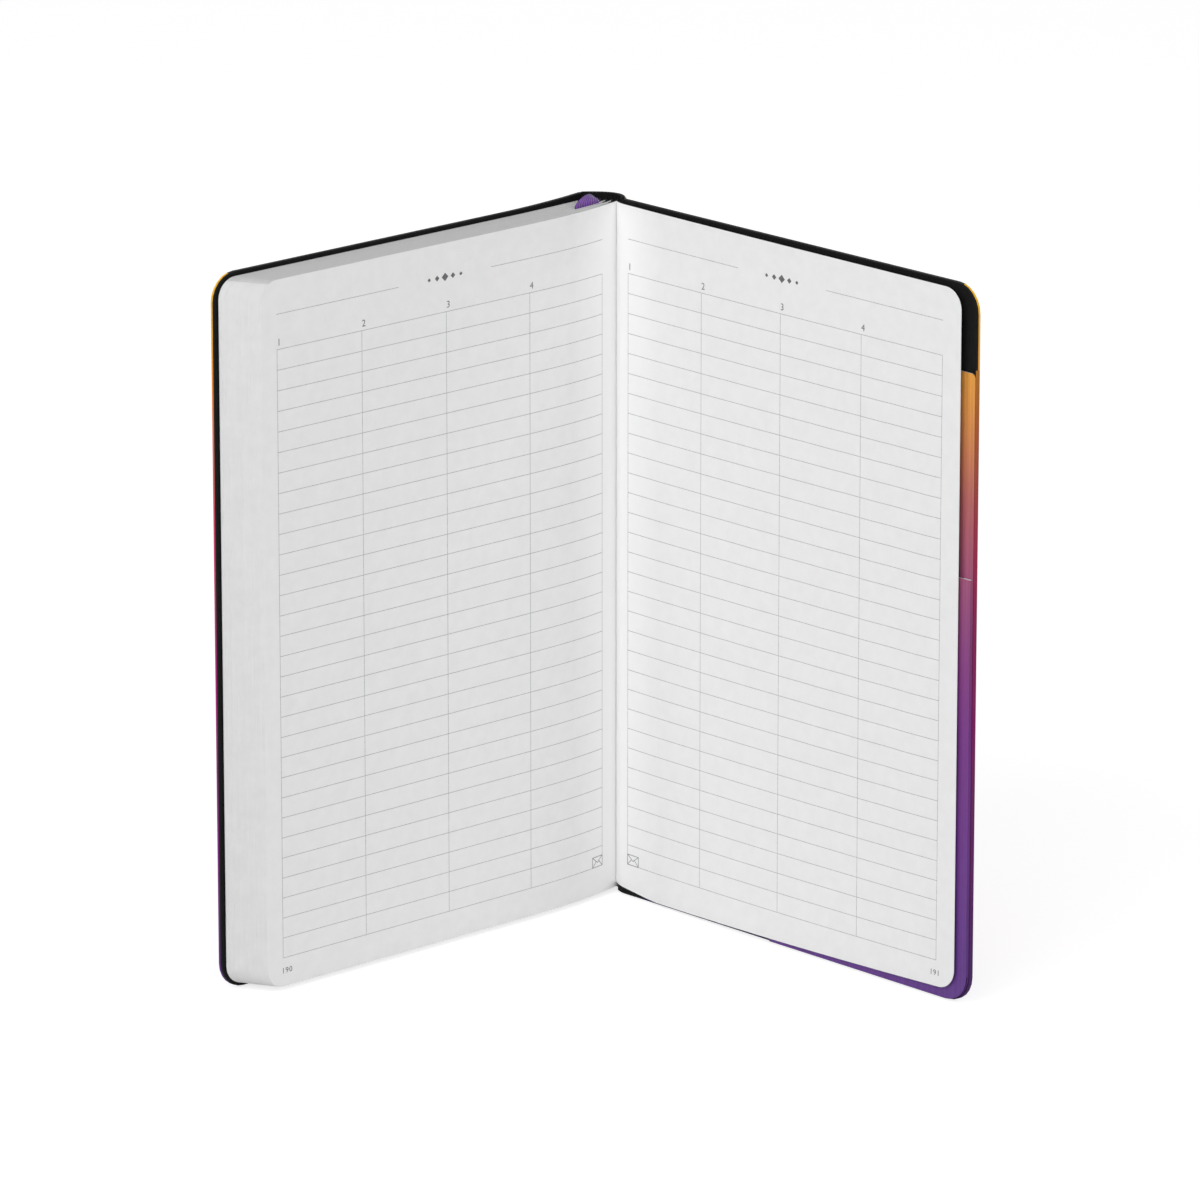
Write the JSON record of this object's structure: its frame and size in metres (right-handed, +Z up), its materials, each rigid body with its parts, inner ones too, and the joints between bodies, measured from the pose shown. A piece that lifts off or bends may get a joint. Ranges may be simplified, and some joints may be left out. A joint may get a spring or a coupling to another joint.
{
  "type": "softcover notebook",
  "caption": "Softcover notebook standing open on its lower edge, with sewn ruled leaves, rounded corners, a ribbon bookmark and a paper pocket inside the back cover.",
  "frame": {"origin": "bottom centre of the bounding box of the open notebook, on the surface it stands on", "axes": "+Z up along the spine; the spine is at the back, at +Y; the front cover is on the left, at -X, and the back cover on the right"},
  "size_m": [0.2142, 0.113, 0.2106],
  "materials": {
    "cover_print": "soft-touch laminated print with a gradient from orange to purple",
    "card": "black card",
    "black_paper": "matt black paper",
    "page": "white uncoated paper",
    "gauze": "open-weave cotton",
    "thread": "sewing thread",
    "ribbon": "satin ribbon",
    "pocket_paper": "coated paper with a gradient from orange to purple"
  },
  "bodies": {
    "spine": {"spine_skin": "cover_print", "spine_strip": "card", "spine_lining": "black_paper", "binding_gauze": "gauze", "sewing_threads": "thread"},
    "front_cover": {"front_cover_skin": "cover_print", "front_cover_card": "card", "front_pastedown": "black_paper"},
    "back_cover": {"back_cover_skin": "cover_print", "back_cover_card": "card", "back_pastedown": "black_paper", "pocket_back_panel": "pocket_paper", "pocket_front_panel": "pocket_paper", "pocket_outer_gusset": "pocket_paper", "pocket_inner_gusset": "pocket_paper"},
    "front_flyleaf": {"front_flyleaf": "black_paper"},
    "section_1": {"section_1": "page"},
    "section_2": {"section_2": "page"},
    "section_3": {"section_3": "page"},
    "section_4": {"section_4": "page"},
    "section_5": {"section_5": "page", "ribbon_bookmark": "ribbon"},
    "section_6": {"section_6": "page"},
    "last_leaf": {"last_leaf": "page"},
    "back_flyleaf": {"back_flyleaf": "black_paper"}
  },
  "joints": [
    {"name": "front_cover_turn", "type": "hinge", "parent": "spine", "child": "front_cover", "pos_m": [-0.00438, 0.05497, 0.105], "axis": [0, 0, 1], "range_deg": [-90, 0]},
    {"name": "back_cover_turn", "type": "hinge", "parent": "spine", "child": "back_cover", "pos_m": [0.00889, 0.04685, 0.105], "axis": [0, 0, 1], "range_deg": [-87, 88]},
    {"name": "front_flyleaf_turn", "type": "hinge", "parent": "spine", "child": "front_flyleaf", "pos_m": [-0.00305, 0.05307, 0.105], "axis": [0, 0, 1], "range_deg": [-81, 0]},
    {"name": "section_1_turn", "type": "hinge", "parent": "spine", "child": "section_1", "pos_m": [-0.00206, 0.05274, 0.105], "axis": [0, 0, 1], "range_deg": [-33.75, 0]},
    {"name": "section_2_turn", "type": "hinge", "parent": "spine", "child": "section_2", "pos_m": [-0.00037, 0.05237, 0.105], "axis": [0, 0, 1], "range_deg": [-27, 0]},
    {"name": "section_3_turn", "type": "hinge", "parent": "spine", "child": "section_3", "pos_m": [0.00132, 0.052, 0.105], "axis": [0, 0, 1], "range_deg": [-20.25, 0]},
    {"name": "section_4_turn", "type": "hinge", "parent": "spine", "child": "section_4", "pos_m": [0.00302, 0.05163, 0.105], "axis": [0, 0, 1], "range_deg": [-13.5, 0]},
    {"name": "section_5_turn", "type": "hinge", "parent": "spine", "child": "section_5", "pos_m": [0.00471, 0.05126, 0.105], "axis": [0, 0, 1], "range_deg": [-8.1, 0]},
    {"name": "section_6_turn", "type": "hinge", "parent": "spine", "child": "section_6", "pos_m": [0.00641, 0.05089, 0.105], "axis": [0, 0, 1], "range_deg": [-4.05, 0]},
    {"name": "last_leaf_turn", "type": "hinge", "parent": "spine", "child": "last_leaf", "pos_m": [0.00889, 0.04685, 0.105], "axis": [0, 0, 1], "range_deg": [-87, 88]},
    {"name": "back_flyleaf_turn", "type": "hinge", "parent": "spine", "child": "back_flyleaf", "pos_m": [0.00889, 0.04685, 0.105], "axis": [0, 0, 1], "range_deg": [-87, 88]}
  ],
  "couplings": [
    {"joint": "front_flyleaf_turn", "follows": "front_cover_turn", "ratio": 0.9},
    {"joint": "section_1_turn", "follows": "front_cover_turn", "ratio": 0.375},
    {"joint": "section_2_turn", "follows": "front_cover_turn", "ratio": 0.3},
    {"joint": "section_3_turn", "follows": "front_cover_turn", "ratio": 0.225},
    {"joint": "section_4_turn", "follows": "front_cover_turn", "ratio": 0.15},
    {"joint": "section_5_turn", "follows": "front_cover_turn", "ratio": 0.09},
    {"joint": "section_6_turn", "follows": "front_cover_turn", "ratio": 0.045},
    {"joint": "last_leaf_turn", "follows": "back_cover_turn", "ratio": 1},
    {"joint": "back_flyleaf_turn", "follows": "back_cover_turn", "ratio": 1}
  ]
}
